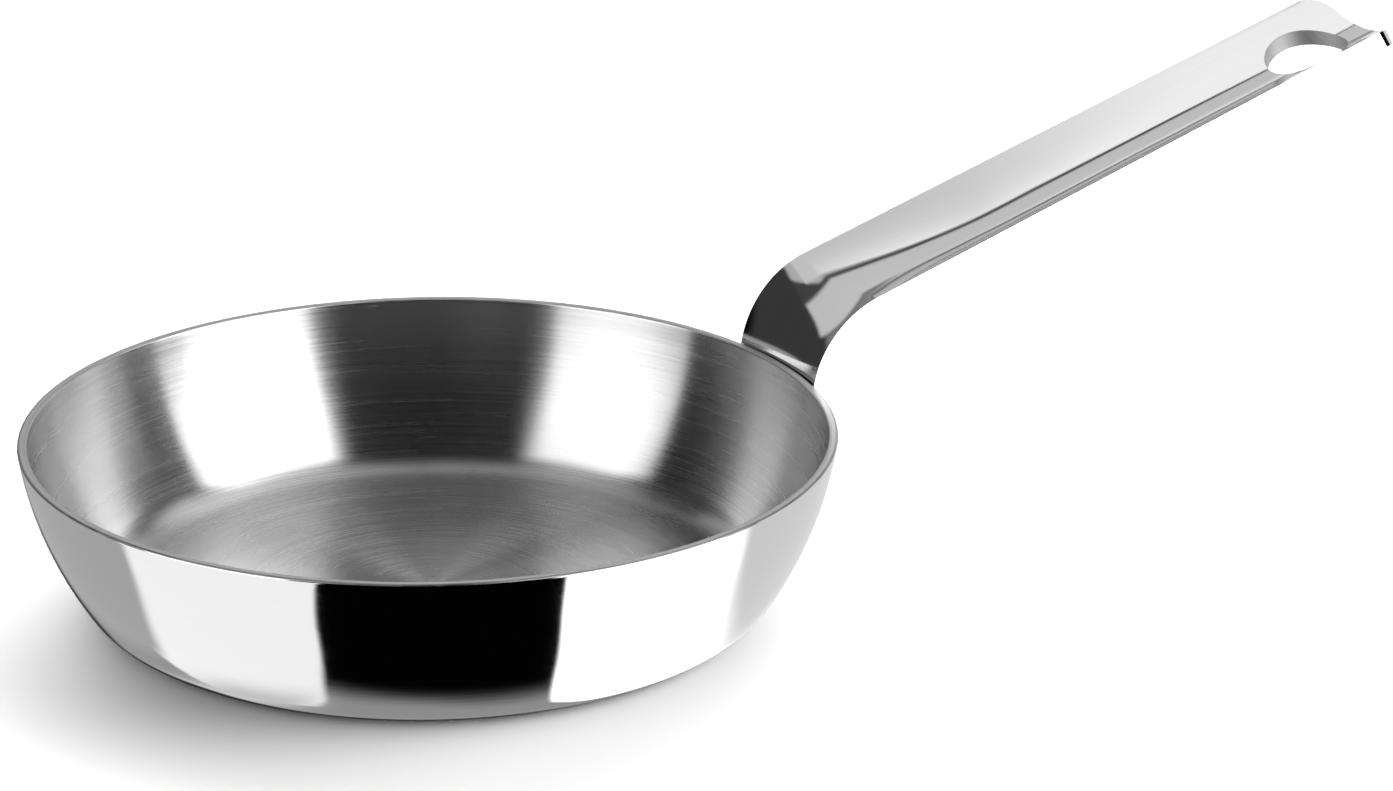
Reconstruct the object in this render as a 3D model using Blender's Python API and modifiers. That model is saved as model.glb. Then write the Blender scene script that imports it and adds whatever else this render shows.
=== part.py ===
"""Blini pan: a small clad steel frying pan with a dished strip handle.

The pan stands on the plane z = 0 with its axis on Z, and the handle runs out along +X.
Lengths are in metres and angles in radians.
"""

import math

import bpy

MM = 0.001

# Pan body, measured on its outer skin
RIM_RADIUS = 60.0 * MM
PAN_HEIGHT = 26.1 * MM
RIM_LEAN = math.radians(8.2)
LOW_LEAN = math.radians(33.8)
CORNER_RADIUS = 8.0 * MM
RIM_EDGE_RADIUS = 0.3 * MM

# Clad sheet, from the outside in
OUTER_PLY = 0.4 * MM
CORE_PLY = 0.6 * MM
INNER_PLY = 0.4 * MM
BOND_GAP = 0.02 * MM

# Handle strip
STRIP_THICKNESS = 2.5 * MM
STRIP_EDGE_RADIUS = 0.35 * MM
FOOT_WIDTH = 21.6 * MM
BEND_WIDTH = 22.8 * MM
END_WIDTH = 20.7 * MM
FOOT_HEIGHT = 17.0 * MM
FOOT_TOP_BELOW_RIM = 0.7 * MM
BEND_RADIUS = 15.9 * MM
ARM_SLOPE = math.radians(16.6)
ARM_LENGTH = 98.4 * MM
DISH_DEPTH = 3.4 * MM
DISH_RUN = 26.0 * MM
CORNER_PLAN_RADIUS = 4.0 * MM
HOLE_RADIUS = 6.7 * MM
HOLE_FROM_END = 10.6 * MM

# Spot welds between the foot and the wall
FOOT_GAP = 0.3 * MM
WELD_RADIUS = 2.5 * MM
WELD_CLEARANCE = 0.06 * MM
WELD_SPREAD = 10.0 * MM
WELD_TOP_BELOW_RIM = 5.0 * MM
WELD_PITCH = 7.5 * MM

# Mesh density
TURN_STEPS = 72
CORNER_STEPS = 5
WALL_STEPS = 4
EDGE_STEPS = 2
STRIP_COLUMNS = 8
BEND_STEPS = 8
STRIP_CORNER_STEPS = 4
FOOT_PITCH = 3.0 * MM
ARM_PITCH = 6.0 * MM
HOLE_STEPS = 32
WELD_STEPS = 24
MERGE = 0.001 * MM

SHEET = OUTER_PLY + CORE_PLY + INNER_PLY
LOW_WALL_HEIGHT = CORNER_RADIUS * (1.0 - math.sin(LOW_LEAN))
WALL_RADIUS = (PAN_HEIGHT - LOW_WALL_HEIGHT) / (math.sin(LOW_LEAN) - math.sin(RIM_LEAN))
WALL_CENTRE = (
    RIM_RADIUS - WALL_RADIUS * math.cos(RIM_LEAN),
    PAN_HEIGHT + WALL_RADIUS * math.sin(RIM_LEAN),
)
BASE_RADIUS = WALL_CENTRE[0] + (WALL_RADIUS - CORNER_RADIUS) * math.cos(LOW_LEAN)
CORNER_CENTRE = (BASE_RADIUS, CORNER_RADIUS)


def clear_scene():
    for thing in list(bpy.data.objects):
        bpy.data.objects.remove(thing, do_unlink=True)


def make_collection(name, is_helper):
    made = bpy.data.collections.new(name)
    made.hide_render = is_helper
    bpy.context.scene.collection.children.link(made)
    return made


def make_metal(name, colour, roughness):
    """A bare metal of one colour."""
    material = bpy.data.materials.new(name)
    material.use_nodes = True
    shader = material.node_tree.nodes["Principled BSDF"]
    shader.inputs["Base Color"].default_value = (*colour, 1.0)
    shader.inputs["Metallic"].default_value = 1.0
    shader.inputs["Roughness"].default_value = roughness
    return material


def place(thing, collection, material=None):
    """Moves an object into the collection and gives it its material."""
    for holder in list(thing.users_collection):
        holder.objects.unlink(thing)
    collection.objects.link(thing)
    if material:
        thing.data.materials.append(material)
    if collection.hide_render:
        thing.hide_render = True
        thing.display_type = "WIRE"
    return thing


def skin_point(lean, inset):
    """(radius, height) on the pan's skin where the wall leans out by this much, inset from the outside."""
    if lean <= LOW_LEAN:
        centre, radius = WALL_CENTRE, WALL_RADIUS
    else:
        centre, radius = CORNER_CENTRE, CORNER_RADIUS
    reach = radius - inset
    return (centre[0] + reach * math.cos(lean), centre[1] - reach * math.sin(lean))


def lean_at_height(height, inset):
    """How far the skin leans out at a height up the wall or the corner."""
    on_wall = (WALL_CENTRE[1] - height) / (WALL_RADIUS - inset)
    if on_wall <= math.sin(LOW_LEAN):
        return math.asin(on_wall)
    on_corner = (CORNER_CENTRE[1] - height) / (CORNER_RADIUS - inset)
    return math.asin(min(1.0, on_corner))


def skin_line(inset):
    """The skin's profile from the axis, across the floor and up to the rim."""
    top_lean = lean_at_height(PAN_HEIGHT, inset)
    points = [(0.0, inset)]
    for step in range(CORNER_STEPS):
        lean = math.pi / 2 + (LOW_LEAN - math.pi / 2) * step / CORNER_STEPS
        points.append(skin_point(lean, inset))
    for step in range(WALL_STEPS + 1):
        lean = LOW_LEAN + (top_lean - LOW_LEAN) * step / WALL_STEPS
        points.append(skin_point(lean, inset))
    return points


def rounded_corner(before, corner, after, radius):
    """Points of the arc that rounds the corner between two straight edges."""
    back = (before[0] - corner[0], before[1] - corner[1])
    ahead = (after[0] - corner[0], after[1] - corner[1])
    back_angle = math.atan2(back[1], back[0])
    ahead_angle = math.atan2(ahead[1], ahead[0])
    opening = (ahead_angle - back_angle + math.pi) % (2 * math.pi) - math.pi
    middle = back_angle + opening / 2
    half = abs(opening) / 2
    centre_reach = radius / math.sin(half)
    centre = (
        corner[0] + centre_reach * math.cos(middle),
        corner[1] + centre_reach * math.sin(middle),
    )
    sweep = math.copysign(math.pi / 2 - half, opening)
    points = []
    for step in range(EDGE_STEPS + 1):
        angle = middle + math.pi - sweep + 2 * sweep * (1.0 - step / EDGE_STEPS)
        points.append((centre[0] + radius * math.cos(angle), centre[1] + radius * math.sin(angle)))
    return points


def profile_mesh(name, points, is_closed):
    """A mesh of the profile's points in the XZ plane, joined by edges."""
    vertices = [(radius, 0.0, height) for radius, height in points]
    edges = [(index, index + 1) for index in range(len(points) - 1)]
    if is_closed:
        edges.append((len(points) - 1, 0))
    mesh = bpy.data.meshes.new(name)
    mesh.from_pydata(vertices, edges, [])
    return mesh


def turned(name, points, collection, material=None, is_closed=False):
    """The profile turned about Z."""
    thing = bpy.data.objects.new(name, profile_mesh(name, points, is_closed))
    place(thing, collection, material)
    screw = thing.modifiers.new("turn", "SCREW")
    screw.axis = "Z"
    screw.angle = 2 * math.pi
    screw.steps = TURN_STEPS
    screw.render_steps = TURN_STEPS
    screw.use_merge_vertices = True
    screw.merge_threshold = MERGE
    screw.use_smooth_shade = True
    return thing


def make_ply(name, outer_inset, inner_inset, collection, material):
    """One layer of the clad bowl, between two insets from the outer skin."""
    inside = skin_line(inner_inset)
    outside = skin_line(outer_inset)[::-1]
    edge = min(RIM_EDGE_RADIUS, 0.8 * (inner_inset - outer_inset))
    inner_lip = [inside[-1]]
    outer_lip = [outside[0]]
    if inner_inset >= SHEET:
        inner_lip = rounded_corner(inside[-2], inside[-1], outside[0], edge)
    if outer_inset <= 0.0:
        outer_lip = rounded_corner(inside[-1], outside[0], outside[1], edge)
    profile = inside[:-1] + inner_lip + outer_lip + outside[1:]
    return turned(name, profile, collection, material)


def smooth_step(share):
    held = min(1.0, max(0.0, share))
    return held * held * (3.0 - 2.0 * held)


def strip_width(distance, bend_start, bend_end, length):
    """The strip's full width at a distance from its foot."""
    if distance <= bend_start:
        return FOOT_WIDTH
    if distance <= bend_end:
        share = (distance - bend_start) / (bend_end - bend_start)
        return FOOT_WIDTH + (BEND_WIDTH - FOOT_WIDTH) * share
    share = (distance - bend_end) / (length - bend_end)
    return BEND_WIDTH + (END_WIDTH - BEND_WIDTH) * share


def half_width_at(distance, length, half):
    """Half the width, drawn in along the rounded corners at both ends."""
    from_end = min(distance, length - distance)
    if from_end >= CORNER_PLAN_RADIUS:
        return half
    inward = CORNER_PLAN_RADIUS - from_end
    return half - CORNER_PLAN_RADIUS + math.sqrt(max(0.0, CORNER_PLAN_RADIUS**2 - inward**2))


def station_distances(bend_start, bend_end, length):
    """Where the strip's cross rows lie, close together at the corners and round the bend."""
    corner = [
        CORNER_PLAN_RADIUS * (1.0 - math.cos(math.pi / 2 * step / STRIP_CORNER_STEPS))
        for step in range(STRIP_CORNER_STEPS + 1)
    ]
    rows = list(corner)

    def fill(stop, count):
        start = rows[-1]
        rows.extend(start + (stop - start) * step / count for step in range(1, count + 1))

    fill(bend_start, max(1, round((bend_start - rows[-1]) / FOOT_PITCH)))
    fill(bend_end, BEND_STEPS)
    fill(length - CORNER_PLAN_RADIUS, max(1, round((length - bend_end) / ARM_PITCH)))
    rows.extend(length - back for back in corner[-2::-1])
    return rows


class Strip:
    """The path of the handle strip's two lips in the XZ plane, and its cross sections."""

    def __init__(self):
        foot_top = PAN_HEIGHT - FOOT_TOP_BELOW_RIM
        self.top_lean = lean_at_height(foot_top, -FOOT_GAP)
        self.end_lean = lean_at_height(foot_top - FOOT_HEIGHT, -FOOT_GAP)
        self.foot_arc = WALL_RADIUS + FOOT_GAP
        self.bend_start = self.foot_arc * (self.end_lean - self.top_lean)
        self.start_angle = math.pi / 2 - self.top_lean
        self.bend_end = self.bend_start + BEND_RADIUS * (self.start_angle - ARM_SLOPE)
        self.length = self.bend_end + ARM_LENGTH
        top_radius, _ = skin_point(self.top_lean, -FOOT_GAP)
        half = FOOT_WIDTH / 2
        self.foot_dish = top_radius - math.sqrt(top_radius**2 - half**2)
        self.bend_from = (top_radius - self.foot_dish, foot_top)

    def lip_and_direction(self, distance):
        """A lip's (x, z), and the angle in the XZ plane that the dish faces."""
        along = min(distance - self.bend_start, self.bend_end - self.bend_start)
        angle = self.start_angle - along / BEND_RADIUS
        x = self.bend_from[0] + BEND_RADIUS * (math.sin(self.start_angle) - math.sin(angle))
        z = self.bend_from[1] + BEND_RADIUS * (math.cos(angle) - math.cos(self.start_angle))
        past = max(0.0, distance - self.bend_end)
        x += past * math.cos(ARM_SLOPE)
        z += past * math.sin(ARM_SLOPE)
        turned_share = (self.start_angle - angle) / (self.start_angle - ARM_SLOPE)
        facing = math.pi + (ARM_SLOPE - math.pi / 2) * turned_share
        return (x, z), facing

    def section(self, distance):
        """The dish's lowest point, the way it faces, and the radius of its cross section."""
        if distance < self.bend_start:
            lean = self.end_lean - distance / self.foot_arc
            centre = skin_point(lean, -FOOT_GAP)
            return centre, math.pi, centre[0]
        lip, facing = self.lip_and_direction(distance)
        grown = smooth_step((distance - self.bend_start) / (self.bend_end - self.bend_start + DISH_RUN))
        depth = self.foot_dish + (DISH_DEPTH - self.foot_dish) * grown
        half = self.full_width(distance) / 2
        centre = (lip[0] - depth * math.cos(facing), lip[1] - depth * math.sin(facing))
        return centre, facing, (half**2 + depth**2) / (2 * depth)

    def full_width(self, distance):
        return strip_width(distance, self.bend_start, self.bend_end, self.length)

    def surface_point(self, distance, share):
        """A point of the strip's upper face, with share running from -1 to 1 across it."""
        centre, facing, radius = self.section(distance)
        half = half_width_at(distance, self.length, self.full_width(distance) / 2)
        across = share * half
        rise = radius - math.sqrt(radius**2 - across**2)
        return (centre[0] + rise * math.cos(facing), across, centre[1] + rise * math.sin(facing))


def make_hole_cutter(strip, collection):
    """The drill for the hanging hole, square to the arm."""
    distance = strip.length - HOLE_FROM_END
    centre, facing, _ = strip.section(distance)
    bpy.ops.mesh.primitive_cylinder_add(
        vertices=HOLE_STEPS,
        radius=HOLE_RADIUS,
        depth=8 * STRIP_THICKNESS,
        location=(centre[0], 0.0, centre[1]),
        rotation=(0.0, math.pi / 2 - facing, 0.0),
    )
    cutter = bpy.context.object
    cutter.name = "hole_cutter"
    return place(cutter, collection)


def make_handle(strip, collection, cutters, material):
    """One strip: foot on the wall, bend over the rim, dished arm with a hanging hole."""
    rows = station_distances(strip.bend_start, strip.bend_end, strip.length)
    bpy.ops.mesh.primitive_grid_add(
        x_subdivisions=len(rows) - 1, y_subdivisions=STRIP_COLUMNS, size=2.0
    )
    handle = bpy.context.object
    handle.name = "handle"
    for vertex in handle.data.vertices:
        row = round((vertex.co.x + 1.0) / 2.0 * (len(rows) - 1))
        vertex.co = strip.surface_point(rows[row], vertex.co.y)
    place(handle, collection, material)
    handle.data.shade_smooth()
    thicken = handle.modifiers.new("thickness", "SOLIDIFY")
    thicken.thickness = STRIP_THICKNESS
    thicken.offset = -1.0
    thicken.use_even_offset = True
    round_off = handle.modifiers.new("rounded edges", "BEVEL")
    round_off.width = STRIP_EDGE_RADIUS
    round_off.segments = EDGE_STEPS
    round_off.limit_method = "ANGLE"
    round_off.angle_limit = math.radians(50.0)
    drill = handle.modifiers.new("hanging hole", "BOOLEAN")
    drill.operation = "DIFFERENCE"
    drill.object = make_hole_cutter(strip, cutters)
    return handle


def make_weld_layer(cutters):
    """A thin ring in the gap between the wall and the foot, which the welds are cut from."""
    near = -WELD_CLEARANCE
    far = WELD_CLEARANCE - FOOT_GAP
    inside = skin_line(near)[CORNER_STEPS:-1]
    outside = skin_line(far)[CORNER_STEPS:-1]
    top = PAN_HEIGHT - FOOT_TOP_BELOW_RIM
    inside.append(skin_point(lean_at_height(top, near), near))
    outside.append(skin_point(lean_at_height(top, far), far))
    return turned("weld_layer", inside + outside[::-1], cutters, is_closed=True)


def make_weld(name, side, below_rim, layer, collection, material):
    """One spot weld: a disc cut from the layer, facing square out of the wall."""
    lean = lean_at_height(PAN_HEIGHT - below_rim, -FOOT_GAP / 2)
    radius, height = skin_point(lean, -FOOT_GAP / 2)
    bearing = math.asin(side * WELD_SPREAD / 2 / radius)
    bpy.ops.mesh.primitive_cylinder_add(
        vertices=WELD_STEPS,
        radius=WELD_RADIUS,
        depth=6 * FOOT_GAP,
        location=(radius * math.cos(bearing), radius * math.sin(bearing), height),
        rotation=(0.0, math.pi / 2 + lean, bearing),
    )
    weld = bpy.context.object
    weld.name = name
    place(weld, collection, material)
    trim = weld.modifiers.new("fill the gap", "BOOLEAN")
    trim.operation = "INTERSECT"
    trim.object = layer
    return weld


def main():
    clear_scene()
    parts = make_collection("blini_pan", False)
    cutters = make_collection("cutters", True)
    satin = make_metal("satin stainless steel", (0.62, 0.61, 0.60), 0.35)
    polished = make_metal("polished stainless steel", (0.72, 0.71, 0.70), 0.08)
    aluminium = make_metal("aluminium core", (0.80, 0.80, 0.81), 0.45)
    weld_steel = make_metal("weld steel", (0.45, 0.43, 0.42), 0.5)

    half_gap = BOND_GAP / 2
    core_from = OUTER_PLY
    core_to = OUTER_PLY + CORE_PLY
    make_ply("outer_ply", 0.0, core_from - half_gap, parts, polished)
    make_ply("core_ply", core_from + half_gap, core_to - half_gap, parts, aluminium)
    make_ply("inner_ply", core_to + half_gap, SHEET, parts, satin)

    strip = Strip()
    make_handle(strip, parts, cutters, polished)

    layer = make_weld_layer(cutters)
    number = 1
    for row in range(2):
        for side in (-1, 1):
            below = WELD_TOP_BELOW_RIM + row * WELD_PITCH
            make_weld(f"spot_weld_{number}", side, below, layer, parts, weld_steel)
            number += 1


main()
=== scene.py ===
"""Looks of a blini pan: clad steel, satin inside and mirror polished outside, with a dished strip handle.

The pan stands on the plane z = 0 with its axis on Z, and the handle runs out along +X.
Lengths are in metres and angles in radians.
"""

import math

import bpy
from mathutils import Matrix, Vector


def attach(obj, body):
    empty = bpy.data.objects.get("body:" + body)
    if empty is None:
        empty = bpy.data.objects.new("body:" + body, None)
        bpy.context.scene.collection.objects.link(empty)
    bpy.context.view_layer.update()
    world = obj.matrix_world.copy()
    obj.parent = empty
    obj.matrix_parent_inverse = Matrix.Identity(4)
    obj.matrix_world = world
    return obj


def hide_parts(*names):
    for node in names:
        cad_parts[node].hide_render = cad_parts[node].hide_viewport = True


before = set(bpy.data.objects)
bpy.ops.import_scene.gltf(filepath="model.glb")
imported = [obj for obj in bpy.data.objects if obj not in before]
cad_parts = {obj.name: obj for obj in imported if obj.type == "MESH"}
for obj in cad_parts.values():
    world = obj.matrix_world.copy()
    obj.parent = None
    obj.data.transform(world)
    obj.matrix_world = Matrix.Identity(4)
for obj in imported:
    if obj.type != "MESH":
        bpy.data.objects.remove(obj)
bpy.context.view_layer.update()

bl_info = {
    "name": "Blini Pan",
    "version": (1, 0, 0),
    "blender": (4, 5, 0),
    "location": "3D Viewport > Sidebar > Blini Pan",
    "description": "Models the skins and the handle of a small clad steel pan and lights it in a studio",
    "category": "Object",
}

MM = 0.001

# How finely the pieces are divided
TURN_STEPS = 288
CORNER_STEPS = 24
WALL_STEPS = 18
LIP_STEPS = 4
STRIP_COLUMNS = 30
BEND_ROWS = 44
FOOT_PITCH = 1.5 * MM
ARM_PITCH = 2.0 * MM
CORNER_ROWS = 10
HOLE_STEPS = 96
EDGE_STEPS = 4
# Rings on the flat floor, as shares of its radius
FLOOR_RINGS = (0.0, 0.3, 0.6, 0.85, 0.98)
# A ring just under a ply's top keeps the shading of the rim off the wall
RIM_RING_DROP = 0.15 * MM

# How close points are that get merged: at a seam, in the strip's first row, and on the finished strip
MERGE = 0.002 * MM
ROW_MERGE = 0.0002 * MM
STRIP_MERGE = 0.02 * MM
SAME_LENGTH = 1e-9
SAME_ANGLE = 1e-6

# Edges sharper than these, in degrees, stay hard in the shading or get rounded
BODY_HARD_EDGE = 50.0
STRIP_HARD_EDGE = 60.0
STRIP_ROUND_EDGE = 50.0

# The ground rim: how far it reaches down, and how far up its faces look at least
RIM_BAND = 0.4 * MM
RIM_FACING = 0.35
# Faces of the hole's wall look this little along the hole
HOLE_FACING = 0.4


def linear_colour(hex_code):
    """The linear colour of an sRGB hex code."""
    shares = [int(hex_code[start : start + 2], 16) / 255 for start in (0, 2, 4)]
    return tuple(s / 12.92 if s <= 0.04045 else ((s + 0.055) / 1.055) ** 2.4 for s in shares)


def length_property(name, description, default):
    return bpy.props.FloatProperty(
        name=name,
        description=description,
        default=default,
        min=0.0,
        subtype="DISTANCE",
        unit="LENGTH",
        precision=5,
    )


def angle_property(name, description, degrees):
    return bpy.props.FloatProperty(
        name=name,
        description=description,
        default=math.radians(degrees),
        subtype="ANGLE",
        unit="ROTATION",
    )


def colour_property(name, description, hex_code):
    return bpy.props.FloatVectorProperty(
        name=name,
        description=description,
        default=linear_colour(hex_code),
        size=3,
        min=0.0,
        max=1.0,
        subtype="COLOR",
    )


class BodySizes(bpy.types.PropertyGroup):
    """Sizes of the clad bowl, measured on its outer skin."""

    rim_radius: length_property("Rim radius", "Outside radius of the rim", 60.0 * MM)
    height: length_property("Height", "Height of the rim above the table", 26.1 * MM)
    rim_lean: angle_property("Lean at the rim", "How far the wall leans out at the rim", 8.2)
    low_lean: angle_property("Lean below", "How far the wall leans out where the corner starts", 33.8)
    corner_radius: length_property("Corner radius", "Radius between base and wall", 8.0 * MM)
    lip_radius: length_property("Lip radius", "Rounding of the cut rim's two edges", 0.3 * MM)
    outer_ply: length_property("Outer ply", "Thickness of the polished steel outside", 0.4 * MM)
    core_ply: length_property("Core ply", "Thickness of the aluminium between", 0.6 * MM)
    inner_ply: length_property("Inner ply", "Thickness of the satin steel inside", 0.4 * MM)
    bond_gap: length_property("Bond gap", "Clearance between two plies", 0.02 * MM)


class HandleSizes(bpy.types.PropertyGroup):
    """Sizes of the handle strip."""

    thickness: length_property("Thickness", "Thickness of the strip", 2.5 * MM)
    edge_radius: length_property("Edge radius", "Rounding of the strip's edges", 0.35 * MM)
    foot_width: length_property("Foot width", "Width of the foot on the wall", 21.6 * MM)
    bend_width: length_property("Bend width", "Width at the end of the bend", 22.8 * MM)
    end_width: length_property("End width", "Width at the far end", 20.7 * MM)
    foot_height: length_property("Foot height", "Height of the foot on the wall", 17.0 * MM)
    foot_below_rim: length_property("Foot below rim", "How far the bend starts below the rim", 0.7 * MM)
    foot_gap: length_property("Foot gap", "Gap that the spot welds fill", 0.3 * MM)
    bend_radius: length_property("Bend radius", "Radius of the bend over the rim", 15.9 * MM)
    arm_slope: angle_property("Arm slope", "How steeply the arm rises", 16.6)
    arm_length: length_property("Arm length", "Length of the straight arm", 98.4 * MM)
    dish_depth: length_property("Dish depth", "Depth of the dish across the arm", 3.4 * MM)
    dish_run: length_property("Dish run", "Length over which the dish reaches its depth", 26.0 * MM)
    corner_plan: length_property("Corner radius", "Radius of the strip's corners", 4.0 * MM)
    hole_radius: length_property("Hole radius", "Radius of the hanging hole", 6.7 * MM)
    hole_from_end: length_property("Hole from end", "From the far end to the hole's centre", 10.6 * MM)


class FinishColours(bpy.types.PropertyGroup):
    """Colours of the metals."""

    polished: colour_property("Polished steel", "Mirror polished stainless steel", "DADADA")
    satin: colour_property("Satin steel", "Stainless steel brushed in circles", "C8C8C8")
    aluminium: colour_property("Aluminium", "Bare cut edge of the core", "D2D3D4")
    weld: colour_property("Weld", "Fused steel with heat tint", "8C857C")


class StudioSettings(bpy.types.PropertyGroup):
    """The table, the lights and the camera."""

    table: colour_property("Table", "Colour of the table and the background", "FAFAFA")
    view_azimuth: angle_property("View azimuth", "Bearing of the camera round the pan", -29.936)
    view_elevation: angle_property("View elevation", "Height of the camera above the horizon", 20.222)
    room_light: bpy.props.FloatProperty(
        name="Room light", description="Brightness of the white room near the horizon", default=1.0, min=0.0
    )
    lens: bpy.props.FloatProperty(
        name="Lens",
        description="Focal length in millimetres on a sensor 36 mm wide",
        default=155.06,
        min=1.0,
        unit="CAMERA",
    )


class BlinipanSettings(bpy.types.PropertyGroup):
    """All settings of the pan and its studio."""

    body: bpy.props.PointerProperty(name="Body", description="Sizes of the bowl", type=BodySizes)
    handle: bpy.props.PointerProperty(name="Handle", description="Sizes of the strip", type=HandleSizes)
    colours: bpy.props.PointerProperty(name="Colours", description="Metals", type=FinishColours)
    studio: bpy.props.PointerProperty(name="Studio", description="Table and camera", type=StudioSettings)


class BowlShape:
    """The outline of the bowl's layers in the XZ plane."""

    def __init__(self, sizes):
        self.sizes = sizes
        self.sheet = sizes.outer_ply + sizes.core_ply + sizes.inner_ply
        low_height = sizes.corner_radius * (1.0 - math.sin(sizes.low_lean))
        lean_drop = math.sin(sizes.low_lean) - math.sin(sizes.rim_lean)
        self.wall_radius = (sizes.height - low_height) / lean_drop
        self.wall_centre = (
            sizes.rim_radius - self.wall_radius * math.cos(sizes.rim_lean),
            sizes.height + self.wall_radius * math.sin(sizes.rim_lean),
        )
        corner_reach = (self.wall_radius - sizes.corner_radius) * math.cos(sizes.low_lean)
        self.base_radius = self.wall_centre[0] + corner_reach

    def point(self, lean, inset):
        """(radius, height) where the wall leans out by this much, inset from the outside."""
        if lean <= self.sizes.low_lean:
            centre, radius = self.wall_centre, self.wall_radius
        else:
            centre, radius = (self.base_radius, self.sizes.corner_radius), self.sizes.corner_radius
        reach = radius - inset
        return (centre[0] + reach * math.cos(lean), centre[1] - reach * math.sin(lean))

    def lean_at(self, height, inset):
        """How far a layer leans out at a height on the wall."""
        return math.asin((self.wall_centre[1] - height) / (self.wall_radius - inset))

    def layer_line(self, inset, top):
        """A layer's outline from the axis across the floor and up the wall to a height."""
        points = [(self.base_radius * share, inset) for share in FLOOR_RINGS]
        low_lean = self.sizes.low_lean
        for step in range(CORNER_STEPS):
            lean = math.pi / 2 + (low_lean - math.pi / 2) * step / CORNER_STEPS
            points.append(self.point(lean, inset))
        top_lean = self.lean_at(top, inset)
        for step in range(WALL_STEPS):
            points.append(self.point(low_lean + (top_lean - low_lean) * step / WALL_STEPS, inset))
        points.append(self.point(self.lean_at(top - RIM_RING_DROP, inset), inset))
        points.append(self.point(top_lean, inset))
        return points


def lip_arc(centre, radius, from_angle, to_angle):
    """Points of a small arc round a lip, its first point left out."""
    points = []
    for step in range(1, LIP_STEPS + 1):
        angle = from_angle + (to_angle - from_angle) * step / LIP_STEPS
        points.append((centre[0] + radius * math.cos(angle), centre[1] + radius * math.sin(angle)))
    return points


def ply_outline(shape, outer_inset, inner_inset):
    """One ply's outline, from the axis up its inside, over the rim and down its outside."""
    height = shape.sizes.height
    rounding = min(shape.sizes.lip_radius, 0.8 * (inner_inset - outer_inset))
    is_inside = inner_inset >= shape.sheet - SAME_LENGTH
    is_outside = outer_inset <= SAME_LENGTH
    inner_lean = shape.lean_at(height - rounding, inner_inset)
    outer_lean = shape.lean_at(height - rounding, outer_inset)
    inner_drop = rounding * (1.0 - math.sin(inner_lean)) if is_inside else 0.0
    outer_drop = rounding * (1.0 + math.sin(outer_lean)) if is_outside else 0.0
    inside = shape.layer_line(inner_inset, height - inner_drop)
    outside = shape.layer_line(outer_inset, height - outer_drop)
    lip = []
    if is_inside:
        centre = (inside[-1][0] + rounding * math.cos(inner_lean), height - rounding)
        lip += lip_arc(centre, rounding, math.pi - inner_lean, math.pi / 2)
    if is_outside:
        centre = (outside[-1][0] - rounding * math.cos(outer_lean), height - rounding)
        # The arc's last point is the top of the wall, which the outside already has
        lip += [(centre[0], height)] + lip_arc(centre, rounding, math.pi / 2, -outer_lean)[:-1]
    return inside + lip + outside[::-1]


def deselect_all():
    """Leaves nothing selected, because the CAD nodes are selected after loading."""
    bpy.ops.object.select_all(action="DESELECT")


def start_point(name):
    """A new object in edit mode with one vertex at the origin, left by a merged plane."""
    deselect_all()
    bpy.ops.mesh.primitive_plane_add(size=1.0 * MM, location=(0.0, 0.0, 0.0))
    thing = bpy.context.object
    thing.name = name
    thing.data.name = name
    bpy.ops.object.mode_set(mode="EDIT")
    bpy.ops.mesh.select_mode(type="VERT")
    bpy.ops.mesh.select_all(action="SELECT")
    bpy.ops.mesh.merge(type="CENTER")
    bpy.ops.mesh.select_all(action="SELECT")
    return thing


def extrude_line(points):
    """Moves the selected vertex to the first point and extrudes it through the others."""
    bpy.ops.transform.translate(value=points[0])
    for before, after in zip(points, points[1:]):
        step = [end - start for start, end in zip(before, after)]
        bpy.ops.mesh.extrude_region_move(TRANSFORM_OT_translate={"value": step})


def close_up():
    """Joins the seam and the poles of a spun shape and turns its faces outwards."""
    bpy.ops.mesh.select_all(action="SELECT")
    bpy.ops.mesh.remove_doubles(threshold=MERGE)
    bpy.ops.mesh.normals_make_consistent(inside=False)
    bpy.ops.object.mode_set(mode="OBJECT")


def pick(thing):
    """Makes a piece the only selected one and the active one."""
    deselect_all()
    thing.select_set(True)
    bpy.context.view_layer.objects.active = thing


def smooth_shading(thing, degrees):
    pick(thing)
    bpy.ops.object.shade_smooth_by_angle(angle=math.radians(degrees))


def apply_modifier(thing, modifier):
    pick(thing)
    bpy.ops.object.modifier_apply(modifier=modifier.name)


def spin_ply(name, outline):
    """A ply modelled by extruding its outline from one vertex and spinning it about the pan's axis."""
    thing = start_point(name)
    extrude_line([(radius, 0.0, height) for radius, height in outline])
    bpy.ops.mesh.select_all(action="SELECT")
    bpy.ops.mesh.spin(
        steps=TURN_STEPS, angle=2 * math.pi, center=(0.0, 0.0, 0.0), axis=(0.0, 0.0, 1.0)
    )
    close_up()
    smooth_shading(thing, BODY_HARD_EDGE)
    return thing


def smooth_step(share):
    held = min(1.0, max(0.0, share))
    return held * held * (3.0 - 2.0 * held)


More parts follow.
